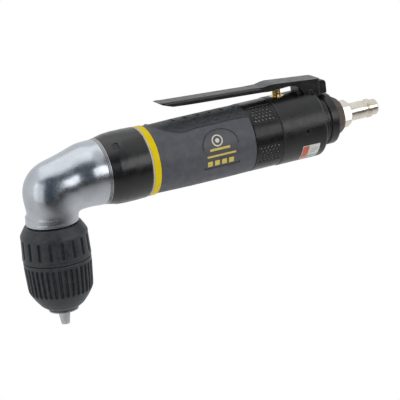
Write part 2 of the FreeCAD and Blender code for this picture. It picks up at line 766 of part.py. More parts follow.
def throttle_lever():
    """Folded sheet lever: a channel in front and a flat plate with two ears behind."""
    sheet = 1.3
    outer = side_plate(flange_outline(0) + lever_top(0), 8).common(lever_plan(0, 67.3))
    outer = round_lever_edges(outer)
    void = [(60.0, 10.0), (60.0, 31.0 - sheet + 0.4), (69.5, 30.3 - sheet), (99.3, 28.6 - sheet),
            (130.5, 26.8 - sheet), (134.8, 27.4 - sheet), (137.5, 27.5 - sheet), (172.0, 24.4 - sheet),
            (172.0, 10.0)]
    inner = side_plate(void, 8).common(lever_plan(sheet, 60.0))
    lever = outer.cut(inner)
    return lever.cut(rod(1.5 + RUN, Vec(X_PIVOT, -12, Z_PIVOT), Y, 24))


def round_lever_edges(shape):
    """Round the two long top edges of the front part."""
    edges = []
    for edge in shape.Edges:
        box = edge.BoundBox
        long_enough = box.XLength > 20
        on_side = box.YLength < 0.1 and abs(abs(box.YMin) - 5.2) < 0.2
        high = box.ZMin > AXIS_Z + 26.6
        if long_enough and on_side and high:
            edges.append(edge)
    return shape.makeFillet(1.2, edges) if edges else shape


def make_throttle():
    write(valve_housing(), "valve_housing")
    write(upright(4.2, PLUNGER_R + RUN, 11.2, 19.2), "plunger_bushing")
    write(upright(5.0, 3.0, 4.0, 7.0), "valve_seat")
    write(valve_plunger(), "valve_plunger")
    write(throttle_valve(), "throttle_valve")
    write(valve_spring(), "valve_spring")
    write(valve_plug(), "valve_plug")
    write(throttle_lever(), "throttle_lever")
    write(rod(1.5, Vec(X_PIVOT, -6.9, Z_PIVOT), Y, 13.8), "lever_pin")
    write(rod(1.25, Vec(148.3, -15.0, AXIS_Z + 0.4), -Y, 3.2), "set_screw")


def rating_label():
    """Thin label on the near lower side of the valve housing."""
    label = ring(R_VALVE + 0.2, R_VALVE, 145.4, 156.2, "X")
    window = block(140, 160, -30, 0, AXIS_Z - 16.6, AXIS_Z - 7.9)
    return label.common(window)


# air inlet
def rear_cap():
    """Screwed-in cap that closes the valve housing, with a groove round it."""
    outline = [(5.5, 153.0), (R_CAP_THREAD, 153.0), (R_CAP_THREAD, X_CAP), (R_CAP, X_CAP), (R_CAP, 164.4),
               (R_CAP - 0.3, 164.9), (R_CAP - 0.9, 165.1), (R_CAP - 0.9, 166.6), (R_CAP - 0.2, 166.9),
               (R_CAP, 167.3), (R_CAP, 171.0), (R_CAP - 0.3, 171.8), (R_CAP - 0.9, X_BUSH),
               (7.2, X_BUSH), (7.2, 169.0), (5.5, 169.0)]
    return turned(outline, "X")


def inlet_bushing():
    """Hexagon-headed bushing between the cap and the air plug."""
    outline = [(3.5, 158.0), (5.5, 158.0), (5.5, 169.0), (7.2, 169.0), (7.2, X_BUSH), (10.9, X_BUSH),
               (10.9, X_NIPPLE - 1.4), (9.6, X_NIPPLE), (3.5, X_NIPPLE)]
    bushing = turned(outline, "X")
    head = hexagon(18.8, X_BUSH - 0.01, X_NIPPLE + 0.5)
    return bushing.common(head.fuse(ring(7.3, 0, 157, X_BUSH, "X")))


def hexagon(across_flats, start, end):
    """Hexagonal bar on the handle's axis, with one flat turned a little up from the near side."""
    corner = across_flats / 2 / math.cos(math.pi / 6)
    points = []
    for i in range(7):
        a = math.pi / 3 * i + math.pi / 6 - math.radians(12)
        points.append(Vec(start, corner * math.cos(a), AXIS_Z + corner * math.sin(a)))
    return Part.Face(Part.makePolygon(points)).extrude(Vec(end - start, 0, 0))


def air_nipple():
    """Quick-connect plug: threaded end, hexagon, stem, latch groove and nose."""
    outline = [(2.5, 168.0), (3.5, 168.0), (3.5, X_NIPPLE), (7.4, X_NIPPLE), (7.8, X_NIPPLE + 0.5),
               (7.8, 183.2), (6.4, 184.4), (5.05, 184.4), (5.05, 194.2), (4.1, 194.8), (4.1, 196.2),
               (5.3, 196.8), (5.3, 198.4), (4.5, 199.0), (4.5, 202.2), (4.0, X_END), (2.5, X_END)]
    nipple = turned(outline, "X")
    nut = hexagon(13.6, X_NIPPLE, 185.0).fuse(ring(5.6, 0, 167.0, X_END + 1, "X"))
    return nipple.common(nut)


def inlet_screen():
    """Perforated disc that keeps dirt out of the valve."""
    disc = ring(5.5, 0, 157.0, 157.7, "X")
    holes = []
    for row in (1, 2):
        for i in range(6 * row):
            a = 2 * math.pi * i / (6 * row)
            r = 2.0 * row
            holes.append(rod(0.5, Vec(156.6, r * math.cos(a), AXIS_Z + r * math.sin(a)), X, 1.5))
    return disc.cut(group(holes))


def make_inlet():
    write(rear_cap(), "rear_cap")
    write(inlet_bushing(), "inlet_bushing")
    write(air_nipple(), "air_nipple")
    write(inlet_screen(), "inlet_screen")
    write(rating_label(), "rating_label")


os.makedirs("parts", exist_ok=True)
make_chuck()
make_head()
make_gearbox()
make_motor()
make_handle()
make_throttle()
make_inlet()
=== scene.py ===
import json
import math

import bmesh
import bpy
from mathutils import Matrix, Vector


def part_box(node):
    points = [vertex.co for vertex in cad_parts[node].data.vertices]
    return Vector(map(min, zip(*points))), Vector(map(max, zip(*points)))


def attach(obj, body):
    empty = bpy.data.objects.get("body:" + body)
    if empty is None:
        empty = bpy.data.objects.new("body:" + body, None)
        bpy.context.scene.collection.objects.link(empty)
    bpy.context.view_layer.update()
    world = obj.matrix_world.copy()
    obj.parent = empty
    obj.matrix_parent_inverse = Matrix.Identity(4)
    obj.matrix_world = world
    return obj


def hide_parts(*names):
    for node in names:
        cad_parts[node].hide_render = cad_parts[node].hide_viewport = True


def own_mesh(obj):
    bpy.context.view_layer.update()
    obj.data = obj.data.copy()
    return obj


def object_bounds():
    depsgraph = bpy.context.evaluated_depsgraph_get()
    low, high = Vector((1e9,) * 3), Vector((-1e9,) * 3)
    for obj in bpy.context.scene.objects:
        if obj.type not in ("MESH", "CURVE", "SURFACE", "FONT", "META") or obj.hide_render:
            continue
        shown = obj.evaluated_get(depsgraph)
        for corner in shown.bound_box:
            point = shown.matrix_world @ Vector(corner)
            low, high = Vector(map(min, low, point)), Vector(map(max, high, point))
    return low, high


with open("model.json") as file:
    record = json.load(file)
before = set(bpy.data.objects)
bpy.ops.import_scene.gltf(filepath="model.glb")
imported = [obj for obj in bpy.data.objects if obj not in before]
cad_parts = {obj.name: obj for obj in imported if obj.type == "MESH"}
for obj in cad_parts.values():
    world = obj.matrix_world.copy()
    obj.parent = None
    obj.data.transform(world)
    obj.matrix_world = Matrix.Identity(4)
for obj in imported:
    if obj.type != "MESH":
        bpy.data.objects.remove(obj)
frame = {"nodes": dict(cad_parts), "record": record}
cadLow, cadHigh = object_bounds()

mm = 0.001
nodes = frame["nodes"]
scene = bpy.context.scene
axisZ = (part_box("motor_case")[0].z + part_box("motor_case")[1].z) / 2   # height of the handle's axis


# camera
view = {
    "azimuth": -24.75,        # degrees round the tool, 0 looks straight at the badge side
    "elevation": 16.57,
    "roll": -6.39,
    "distance": 1.183,
    "lens": 193.26,
    "aim": (-0.0046, 0.0, -0.0052),   # where it looks, from the middle of the tool
}


def makeCamera(spec):
    azimuth, elevation, roll = (math.radians(spec[key]) for key in ("azimuth", "elevation", "roll"))
    back = Vector((math.sin(azimuth) * math.cos(elevation), -math.cos(azimuth) * math.cos(elevation),
                   math.sin(elevation)))
    right = (-back).cross(Vector((0, 0, 1))).normalized()
    up = right.cross(-back)
    tiltedRight = right * math.cos(roll) + up * math.sin(roll)
    tiltedUp = up * math.cos(roll) - right * math.sin(roll)
    data = bpy.data.cameras.new("camera")
    data.lens = spec["lens"]
    data.sensor_width = 36
    camera = bpy.data.objects.new("camera", data)
    scene.collection.objects.link(camera)
    middle = (cadLow + cadHigh) / 2
    place = Matrix((tiltedRight, tiltedUp, back)).transposed().to_4x4()
    place.translation = middle + Vector(spec["aim"]) + back * spec["distance"]
    camera.matrix_world = place
    scene.camera = camera


# floor and light
studio = {
    "floorHeight": -0.16,
    "floorSize": 9.0,
    "floorSeen": 1.0,                    # how brightly the glowing floor looks to the camera
    "floorMirrored": (0.05, 0.75),       # how brightly it glows to all other rays, in front and behind: a painted reflection in glossy parts and painted light
    "floorTurns": (-0.75, -0.05),        # where it goes from one to the other, along y
    "fill": 0.40,                        # what falls on everything from all round
    "frontAzimuth": -20.0,               # the side where the room is dark, as glossy parts mirror it
    "frontHeight": 8.0,
    "frontEdges": (0.34, 0.80),          # cosines off that side where the dark starts and is full
    "frontColour": (0.070, 0.088, 0.115),
    "tentColour": (0.84, 0.85, 0.86),    # pale all round elsewhere
}

lamps = [
    # name, place, aims at, width, height, watts
    ("topPanel", (-0.10, 0.10, 1.20), (0.09, 0.0, 0.06), 1.6, 1.1, 3.0),
    ("leftPanel", (-1.05, -0.45, 0.30), (0.02, 0.0, 0.05), 0.9, 1.1, 2.6),
    ("frontPanel", (0.66, -1.12, 0.46), (0.09, 0.0, 0.06), 1.4, 0.62, 5.2),
]


def makeGlow(tree, strength):
    glow = tree.nodes.new("ShaderNodeEmission")
    glow.inputs["Color"].default_value = (1, 1, 1, 1)
    glow.inputs["Strength"].default_value = strength
    return glow


def makeFloor(spec):
    half = spec["floorSize"] / 2
    mesh = bpy.data.meshes.new("floor")
    corners = [(-half, -half), (half, -half), (half, half), (-half, half)]
    mesh.from_pydata([(x, y, spec["floorHeight"]) for x, y in corners], [], [(0, 1, 2, 3)])
    floor = bpy.data.objects.new("floor", mesh)
    scene.collection.objects.link(floor)
    material = bpy.data.materials.new("floorGlow")
    material.use_nodes = True
    tree = material.node_tree
    tree.nodes.clear()
    # the floor glows rather than being lit: even white to the camera, and to every other ray a painted
    # reflection and light, dim in front and bright behind
    path = tree.nodes.new("ShaderNodeLightPath")
    mix = tree.nodes.new("ShaderNodeMixShader")
    tree.links.new(path.outputs["Is Camera Ray"], mix.inputs[0])
    mirrored = makeGlow(tree, 1.0)
    place = tree.nodes.new("ShaderNodeTexCoord")
    parts = tree.nodes.new("ShaderNodeSeparateXYZ")
    spread = tree.nodes.new("ShaderNodeMapRange")
    spread.inputs["From Min"].default_value, spread.inputs["From Max"].default_value = spec["floorTurns"]
    spread.inputs["To Min"].default_value, spread.inputs["To Max"].default_value = spec["floorMirrored"]
    tree.links.new(place.outputs["Object"], parts.inputs[0])
    tree.links.new(parts.outputs["Y"], spread.inputs["Value"])
    tree.links.new(spread.outputs[0], mirrored.inputs["Strength"])
    tree.links.new(mirrored.outputs[0], mix.inputs[1])
    tree.links.new(makeGlow(tree, spec["floorSeen"]).outputs[0], mix.inputs[2])
    end = tree.nodes.new("ShaderNodeOutputMaterial")
    tree.links.new(mix.outputs[0], end.inputs["Surface"])
    mesh.materials.append(material)


def makeWorld(spec):
    # glossy rays see a pale tent with a dark front, the camera sees white, and other rays see plain fill
    world = bpy.data.worlds.new("studio")
    scene.world = world
    world.use_nodes = True
    tree = world.node_tree
    plain = tree.nodes["Background"]
    plain.inputs["Color"].default_value = (1, 1, 1, 1)
    plain.inputs["Strength"].default_value = spec["fill"]
    azimuth, height = math.radians(spec["frontAzimuth"]), math.radians(spec["frontHeight"])
    direction = tree.nodes.new("ShaderNodeTexCoord")
    toFront = tree.nodes.new("ShaderNodeVectorMath")
    toFront.operation = "DOT_PRODUCT"
    flat = math.cos(height)
    toFront.inputs[1].default_value = (math.sin(azimuth) * flat, -math.cos(azimuth) * flat, math.sin(height))
    tree.links.new(direction.outputs["Generated"], toFront.inputs[0])
    ramp = tree.nodes.new("ShaderNodeValToRGB")
    ramp.color_ramp.interpolation = "EASE"
    tree.links.new(toFront.outputs["Value"], ramp.inputs["Fac"])
    stops = ramp.color_ramp.elements
    stops[0].position, stops[0].color = spec["frontEdges"][0], (*spec["tentColour"], 1)
    stops[1].position, stops[1].color = spec["frontEdges"][1], (*spec["frontColour"], 1)
    mirrored = tree.nodes.new("ShaderNodeBackground")
    tree.links.new(ramp.outputs["Color"], mirrored.inputs["Color"])
    path = tree.nodes.new("ShaderNodeLightPath")
    mix = tree.nodes.new("ShaderNodeMixShader")
    tree.links.new(path.outputs["Is Glossy Ray"], mix.inputs[0])
    tree.links.new(plain.outputs[0], mix.inputs[1])
    tree.links.new(mirrored.outputs[0], mix.inputs[2])
    backdrop = tree.nodes.new("ShaderNodeBackground")
    backdrop.inputs["Color"].default_value = (1, 1, 1, 1)
    backdrop.inputs["Strength"].default_value = spec["floorSeen"]
    seen = tree.nodes.new("ShaderNodeMixShader")
    tree.links.new(path.outputs["Is Camera Ray"], seen.inputs[0])
    tree.links.new(mix.outputs[0], seen.inputs[1])
    tree.links.new(backdrop.outputs[0], seen.inputs[2])
    tree.links.new(seen.outputs[0], tree.nodes["World Output"].inputs["Surface"])


def makeLamps(rows):
    for name, place, target, width, height, watts in rows:
        data = bpy.data.lights.new(name, "AREA")
        data.shape = "RECTANGLE"
        data.size = width
        data.size_y = height
        data.energy = watts
        lamp = bpy.data.objects.new(name, data)
        scene.collection.objects.link(lamp)
        lamp.location = place
        lamp.rotation_euler = (Vector(target) - Vector(place)).to_track_quat("-Z", "Y").to_euler()


# shared effects
def startGroup(name, inputs, outputs):
    # inputs are (name, kind, value) and outputs (name, kind)
    group = bpy.data.node_groups.new(name, "ShaderNodeTree")
    for label, kind, value in inputs:
        socket = group.interface.new_socket(name=label, in_out="INPUT", socket_type=kind)
        socket.default_value = value
    for label, kind in outputs:
        group.interface.new_socket(name=label, in_out="OUTPUT", socket_type=kind)
    return group, group.nodes.new("NodeGroupInput"), group.nodes.new("NodeGroupOutput")


def addMath(tree, operation, first, second=None, clamp=False):
    node = tree.nodes.new("ShaderNodeMath")
    node.operation = operation
    node.use_clamp = clamp
    for socket, value in zip(node.inputs, (first, second)):
        if isinstance(value, (int, float)):
            socket.default_value = value
        elif value is not None:
            tree.links.new(value, socket)
    return node.outputs[0]


def makeCloudGroup():
    # soft patches of a given size, spread between two values
    group, start, end = startGroup("cloudyPatches", [
        ("Size", "NodeSocketFloat", 0.004), ("Detail", "NodeSocketFloat", 3.0),
        ("Low", "NodeSocketFloat", 0.0), ("High", "NodeSocketFloat", 1.0)], [("Value", "NodeSocketFloat")])
    place = group.nodes.new("ShaderNodeTexCoord")
    noise = group.nodes.new("ShaderNodeTexNoise")
    scale = addMath(group, "DIVIDE", 1.0, start.outputs["Size"])
    spread = group.nodes.new("ShaderNodeMapRange")
    spread.inputs["From Min"].default_value = 0.32
    spread.inputs["From Max"].default_value = 0.68
    group.links.new(place.outputs["Object"], noise.inputs["Vector"])
    group.links.new(scale, noise.inputs["Scale"])
    group.links.new(start.outputs["Detail"], noise.inputs["Detail"])
    group.links.new(noise.outputs["Fac"], spread.inputs["Value"])
    group.links.new(start.outputs["Low"], spread.inputs["To Min"])
    group.links.new(start.outputs["High"], spread.inputs["To Max"])
    group.links.new(spread.outputs[0], end.inputs["Value"])
    return group


def makeLineGroup():
    # fine tool marks: the stretch says how often they repeat along x, y and z
    group, start, end = startGroup("toolMarks", [
        ("Stretch", "NodeSocketVector", (2000.0, 30.0, 30.0)),
        ("Low", "NodeSocketFloat", 0.0), ("High", "NodeSocketFloat", 1.0)], [("Value", "NodeSocketFloat")])
    place = group.nodes.new("ShaderNodeTexCoord")
    stretched = group.nodes.new("ShaderNodeVectorMath")
    stretched.operation = "MULTIPLY"
    noise = group.nodes.new("ShaderNodeTexNoise")
    noise.inputs["Scale"].default_value = 1.0
    noise.inputs["Detail"].default_value = 4.0
    spread = group.nodes.new("ShaderNodeMapRange")
    spread.inputs["From Min"].default_value = 0.3
    spread.inputs["From Max"].default_value = 0.7
    group.links.new(place.outputs["Object"], stretched.inputs[0])
    group.links.new(start.outputs["Stretch"], stretched.inputs[1])
    group.links.new(stretched.outputs[0], noise.inputs["Vector"])
    group.links.new(noise.outputs["Fac"], spread.inputs["Value"])
    group.links.new(start.outputs["Low"], spread.inputs["To Min"])
    group.links.new(start.outputs["High"], spread.inputs["To Max"])
    group.links.new(spread.outputs[0], end.inputs["Value"])
    return group


def makeEdgeGroup():
    # a mask along sharp edges, broken up by patches, that lightens them as part wear and part painted edge
    # highlight, and the surface's normal with its edges rounded
    group, start, end = startGroup("wornAndHighlitEdges", [
        ("Radius", "NodeSocketFloat", 0.0003), ("Patch Size", "NodeSocketFloat", 0.003),
        ("Amount", "NodeSocketFloat", 0.5)], [("Mask", "NodeSocketFloat"), ("Normal", "NodeSocketVector")])
    bevel = group.nodes.new("ShaderNodeBevel")
    bevel.samples = 6
    surface = group.nodes.new("ShaderNodeNewGeometry")
    dot = group.nodes.new("ShaderNodeVectorMath")
    dot.operation = "DOT_PRODUCT"
    place = group.nodes.new("ShaderNodeTexCoord")
    noise = group.nodes.new("ShaderNodeTexNoise")
    noise.inputs["Detail"].default_value = 4.0
    group.links.new(start.outputs["Radius"], bevel.inputs["Radius"])
    group.links.new(bevel.outputs["Normal"], dot.inputs[0])
    group.links.new(surface.outputs["Normal"], dot.inputs[1])
    group.links.new(place.outputs["Object"], noise.inputs["Vector"])
    group.links.new(addMath(group, "DIVIDE", 1.0, start.outputs["Patch Size"]), noise.inputs["Scale"])
    bend = addMath(group, "SUBTRACT", 1.0, dot.outputs["Value"])
    sharp = addMath(group, "MULTIPLY", bend, 9.0, clamp=True)
    broken = addMath(group, "MULTIPLY", noise.outputs["Fac"], 1.7)
    mask = addMath(group, "MULTIPLY", sharp, broken)
    group.links.new(addMath(group, "MULTIPLY", mask, start.outputs["Amount"], clamp=True), end.inputs["Mask"])
    group.links.new(bevel.outputs["Normal"], end.inputs["Normal"])
    return group


def makeDustTopLightGroup():
    # fine dust and painted light from above: paler patches on faces that look up
    inputs = [("Amount", "NodeSocketFloat", 0.2), ("Size", "NodeSocketFloat", 0.006)]
    group, start, end = startGroup("dustAndPaintedTopLight", inputs, [("Mask", "NodeSocketFloat")])
    surface = group.nodes.new("ShaderNodeNewGeometry")
    parts = group.nodes.new("ShaderNodeSeparateXYZ")
    place = group.nodes.new("ShaderNodeTexCoord")
    noise = group.nodes.new("ShaderNodeTexNoise")
    noise.inputs["Detail"].default_value = 6.0
    group.links.new(surface.outputs["Normal"], parts.inputs[0])
    group.links.new(place.outputs["Object"], noise.inputs["Vector"])
    group.links.new(addMath(group, "DIVIDE", 1.0, start.outputs["Size"]), noise.inputs["Scale"])
    risen = addMath(group, "SUBTRACT", parts.outputs["Z"], 0.1)
    upward = addMath(group, "MULTIPLY", risen, 0.9, clamp=True)
    patchy = addMath(group, "MULTIPLY", upward, noise.outputs["Fac"])
    mask = addMath(group, "MULTIPLY", patchy, start.outputs["Amount"], clamp=True)
    group.links.new(mask, end.inputs["Mask"])
    return group


effects = {"cloud": makeCloudGroup(), "lines": makeLineGroup(), "edges": makeEdgeGroup(),
           "dustTopLight": makeDustTopLightGroup()}
print("stage: effects")


# finishes
def placeEffect(tree, effect, **values):
    node = tree.nodes.new("ShaderNodeGroup")
    node.node_tree = effects[effect]
    for key, value in values.items():
        label = {"patch": "Patch Size"}.get(key, key.capitalize())
        node.inputs[label].default_value = value
    return node


def mixColour(tree, factor, first, second):
    node = tree.nodes.new("ShaderNodeMix")
    node.data_type = "RGBA"
    tree.links.new(factor, node.inputs["Factor"])
    for socket, value in ((node.inputs[6], first), (node.inputs[7], second)):
        if isinstance(value, tuple):
            socket.default_value = (*value, 1)
        else:
            tree.links.new(value, socket)
    return node.outputs[2]


def makeFinish(name, look):
    # colour patches, uneven gloss, worn edges with painted edge highlights, dust with painted light on faces
    # that look up, and a fine surface, each from the look's own numbers
    material = bpy.data.materials.new(name)
    material.use_nodes = True
    tree = material.node_tree
    shader = tree.nodes["Principled BSDF"]
    patches = placeEffect(tree, "cloud", size=look.get("patchSize", 0.006), detail=4.0)
    colour = mixColour(tree, patches.outputs["Value"], look["colour"], look["second"])
    if "lines" in look:
        marks = placeEffect(tree, "lines", stretch=look["lines"], low=0.0, high=look.get("lineTone", 0.25))
        colour = mixColour(tree, marks.outputs["Value"], colour, look.get("lineColour", (0.05, 0.05, 0.05)))
    edges = placeEffect(tree, "edges", radius=0.0003, patch=0.002, amount=look.get("edgeWearHighlight", 0.3))
    # sharp edges turn lighter here: part wear, part painted edge highlight
    colour = mixColour(tree, edges.outputs["Mask"], colour, look.get("edgeWearHighlightColour", (0.3, 0.3, 0.3)))
    # faces that look up turn paler: part dust, part painted light from above
    if look.get("dustTopLight"):
        dustTopLight = placeEffect(tree, "dustTopLight", amount=look["dustTopLight"])
        colour = mixColour(tree, dustTopLight.outputs["Mask"], colour, (0.55, 0.54, 0.52))
    tree.links.new(colour, shader.inputs["Base Color"])
    low, high = look["rough"]
    gloss = placeEffect(tree, "cloud", size=0.003, low=low, high=high)
    tree.links.new(gloss.outputs["Value"], shader.inputs["Roughness"])
    grain = placeEffect(tree, "cloud", size=look.get("grainSize", 0.0004), detail=2.0)
    height = grain.outputs["Value"]
    if "lines" in look:
        height = addMath(tree, "ADD", addMath(tree, "MULTIPLY", height, look.get("grainShare", 0.4)),
                         marks.outputs["Value"])
    bump = tree.nodes.new("ShaderNodeBump")
    bump.inputs["Distance"].default_value = look.get("bump", 0.00001)
    tree.links.new(height, bump.inputs["Height"])
    tree.links.new(edges.outputs["Normal"], bump.inputs["Normal"])
    tree.links.new(bump.outputs["Normal"], shader.inputs["Normal"])
    shader.inputs["Metallic"].default_value = look.get("metal", 0.0)
    shader.inputs["Specular IOR Level"].default_value = look.get("specular", 0.5)
    return material


finishes = {
    "polishedAluminium": {"colour": (0.47, 0.50, 0.54), "second": (0.56, 0.59, 0.63), "metal": 1.0,
                          "rough": (0.20, 0.29), "lines": (25.0, 160.0, 160.0), "lineTone": 0.16,
                          "lineColour": (0.30, 0.32, 0.35), "bump": 0.000012, "grainShare": 0.2,
                          "patchSize": 0.010, "edgeWearHighlight": 0.3, "edgeWearHighlightColour": (0.85, 0.86, 0.88)},
    "turnedSteel": {"colour": (0.42, 0.43, 0.45), "second": (0.56, 0.57, 0.59), "metal": 1.0,
                    "rough": (0.22, 0.34), "lines": (2600.0, 20.0, 20.0), "bump": 0.000006},
    "uprightSteel": {"colour": (0.45, 0.46, 0.48), "second": (0.60, 0.61, 0.63), "metal": 1.0,
                     "rough": (0.18, 0.32), "lines": (20.0, 20.0, 2600.0), "bump": 0.000006},
    "ringedSteel": {"colour": (0.70, 0.71, 0.73), "second": (0.84, 0.85, 0.87), "metal": 1.0,
                    "rough": (0.20, 0.32), "lines": (1300.0, 0.0, 0.0), "lineTone": 1.0,
                    "lineColour": (0.02, 0.02, 0.02), "bump": 0.00001},
    "gearSteel": {"colour": (0.30, 0.30, 0.31), "second": (0.42, 0.42, 0.43), "metal": 1.0,
                  "rough": (0.28, 0.42), "lines": (1800.0, 20.0, 20.0), "bump": 0.000006},
    "jawSteel": {"colour": (0.52, 0.53, 0.55), "second": (0.68, 0.69, 0.70), "metal": 1.0,
                 "rough": (0.16, 0.30), "lines": (40.0, 40.0, 1800.0), "bump": 0.000008, "edgeWearHighlight": 0.5,
                 "edgeWearHighlightColour": (0.85, 0.85, 0.86)},
    "nickelPlate": {"colour": (0.76, 0.70, 0.60), "second": (0.88, 0.83, 0.74), "metal": 1.0,
                    "rough": (0.14, 0.26), "lines": (2400.0, 20.0, 20.0), "lineTone": 0.12,
                    "bump": 0.000005, "edgeWearHighlight": 0.4, "edgeWearHighlightColour": (0.90, 0.88, 0.84)},
    "chuckPlastic": {"colour": (0.022, 0.025, 0.029), "second": (0.042, 0.046, 0.052),
                     "rough": (0.34, 0.50), "grainSize": 0.0005, "bump": 0.00004, "edgeWearHighlight": 0.85,
                     "edgeWearHighlightColour": (0.20, 0.21, 0.22), "dustTopLight": 0.06, "patchSize": 0.003, "specular": 0.4},
    "blackCoupling": {"colour": (0.004, 0.004, 0.005), "second": (0.009, 0.009, 0.010),
                      "rough": (0.20, 0.32), "lines": (1500.0, 15.0, 15.0), "lineTone": 0.10,
                      "lineColour": (0.04, 0.04, 0.04), "bump": 0.000008, "edgeWearHighlight": 0.16,
                      "edgeWearHighlightColour": (0.14, 0.14, 0.15), "specular": 0.6},
    "caseAluminium": {"colour": (0.50, 0.51, 0.52), "second": (0.62, 0.63, 0.64), "metal": 1.0,
                      "rough": (0.28, 0.40), "lines": (1600.0, 20.0, 20.0), "bump": 0.000006},
    "gripRubber": {"colour": (0.085, 0.088, 0.104), "second": (0.112, 0.115, 0.132),
                   "rough": (0.44, 0.60), "grainSize": 0.0006, "bump": 0.00005, "edgeWearHighlight": 0.3,
                   "edgeWearHighlightColour": (0.24, 0.25, 0.28), "patchSize": 0.004, "specular": 0.45},
    "gripPad": {"colour": (0.022, 0.023, 0.028), "second": (0.046, 0.048, 0.056),
                "rough": (0.40, 0.56), "grainSize": 0.0008, "bump": 0.00009, "edgeWearHighlight": 0.3,
                "edgeWearHighlightColour": (0.22, 0.23, 0.25), "patchSize": 0.0016},
    "yellowPlastic": {"colour": (0.92, 0.66, 0.004), "second": (0.98, 0.76, 0.010),
                      "rough": (0.24, 0.36), "bump": 0.00001, "edgeWearHighlight": 0.2, "patchSize": 0.008,
                      "edgeWearHighlightColour": (0.98, 0.82, 0.20), "specular": 0.12},
    "creamSpacer": {"colour": (0.55, 0.53, 0.42), "second": (0.68, 0.66, 0.55),
                    "rough": (0.35, 0.5), "bump": 0.00001, "edgeWearHighlight": 0.2,
                    "edgeWearHighlightColour": (0.85, 0.83, 0.74)},
    "badgePlastic": {"colour": (0.078, 0.080, 0.096), "second": (0.100, 0.102, 0.120),
                     "rough": (0.38, 0.52), "grainSize": 0.0005, "bump": 0.00002, "edgeWearHighlight": 0.3,
                     "edgeWearHighlightColour": (0.20, 0.21, 0.23)},
    "blackPlastic": {"colour": (0.005, 0.005, 0.006), "second": (0.011, 0.011, 0.012),
                     "rough": (0.20, 0.34), "grainSize": 0.0008, "bump": 0.000012, "edgeWearHighlight": 0.4,
                     "edgeWearHighlightColour": (0.17, 0.17, 0.18), "specular": 0.4},
    "blackHousing": {"colour": (0.005, 0.005, 0.006), "second": (0.012, 0.012, 0.013),
                     "rough": (0.26, 0.38), "grainSize": 0.0006, "bump": 0.00002, "edgeWearHighlight": 0.5,
                     "edgeWearHighlightColour": (0.26, 0.26, 0.27), "patchSize": 0.008, "specular": 0.55},
    "leverPaint": {"colour": (0.006, 0.006, 0.007), "second": (0.014, 0.014, 0.015),
                   "rough": (0.28, 0.42), "grainSize": 0.0005, "bump": 0.00002, "edgeWearHighlight": 0.5,
                   "edgeWearHighlightColour": (0.22, 0.22, 0.23), "dustTopLight": 0.12, "specular": 0.5},
    "felt": {"colour": (0.45, 0.45, 0.44), "second": (0.66, 0.66, 0.64), "rough": (0.85, 0.95),
             "grainSize": 0.0003, "bump": 0.00012, "edgeWearHighlight": 0.0, "patchSize": 0.001},
    "vaneLaminate": {"colour": (0.20, 0.11, 0.05), "second": (0.30, 0.18, 0.09), "rough": (0.45, 0.6),
                     "lines": (40.0, 1200.0, 1200.0), "bump": 0.00001},
    "brass": {"colour": (0.72, 0.50, 0.18), "second": (0.84, 0.62, 0.28), "metal": 1.0,
              "rough": (0.16, 0.28), "lines": (20.0, 20.0, 2600.0), "lineTone": 0.18,
              "lineColour": (0.25, 0.15, 0.04), "bump": 0.000006, "edgeWearHighlight": 0.4,
              "edgeWearHighlightColour": (0.95, 0.80, 0.45)},
    "valveRubber": {"colour": (0.012, 0.012, 0.012), "second": (0.022, 0.022, 0.022),
                    "rough": (0.6, 0.75), "bump": 0.00003},
    "darkBronze": {"colour": (0.070, 0.050, 0.042), "second": (0.115, 0.086, 0.072), "metal": 0.55,
                   "rough": (0.30, 0.46), "grainSize": 0.0005, "bump": 0.00002, "edgeWearHighlight": 0.5,
                   "edgeWearHighlightColour": (0.30, 0.25, 0.22)},
    "labelFilm": {"colour": (0.74, 0.74, 0.72), "second": (0.84, 0.84, 0.82), "rough": (0.26, 0.36),
                  "bump": 0.000006, "edgeWearHighlight": 0.2, "edgeWearHighlightColour": (0.9, 0.9, 0.9)},
    "labelOrange": {"colour": (0.60, 0.10, 0.04), "second": (0.72, 0.16, 0.07), "rough": (0.26, 0.36),
                    "bump": 0.000006, "edgeWearHighlight": 0.2, "edgeWearHighlightColour": (0.85, 0.4, 0.3)},
    "labelGreen": {"colour": (0.20, 0.50, 0.42), "second": (0.30, 0.60, 0.52), "rough": (0.26, 0.36),
                   "bump": 0.000006, "edgeWearHighlight": 0.2, "edgeWearHighlightColour": (0.5, 0.7, 0.65)},
    "labelGrey": {"colour": (0.42, 0.43, 0.44), "second": (0.52, 0.53, 0.54), "rough": (0.26, 0.36),
                  "bump": 0.000006, "edgeWearHighlight": 0.2, "edgeWearHighlightColour": (0.6, 0.6, 0.6)},
    # near black: painted shade of the recess line round the badge
    "rimShadeBlack": {"colour": (0.008, 0.008, 0.010), "second": (0.016, 0.016, 0.019), "rough": (0.30, 0.42),
                 "bump": 0.000006, "edgeWearHighlight": 0.3, "edgeWearHighlightColour": (0.20, 0.21, 0.23)},
    "printCream": {"colour": (0.78, 0.75, 0.60), "second": (0.90, 0.88, 0.74), "rough": (0.40, 0.52),
                   "bump": 0.000006, "edgeWearHighlight": 0.1, "patchSize": 0.001, "edgeWearHighlightColour": (0.8, 0.8, 0.7)},
    "printYellow": {"colour": (0.74, 0.58, 0.10), "second": (0.86, 0.70, 0.16), "rough": (0.40, 0.52),
                    "bump": 0.000006, "edgeWearHighlight": 0.1, "patchSize": 0.0012, "edgeWearHighlightColour": (0.8, 0.7, 0.3)},
}

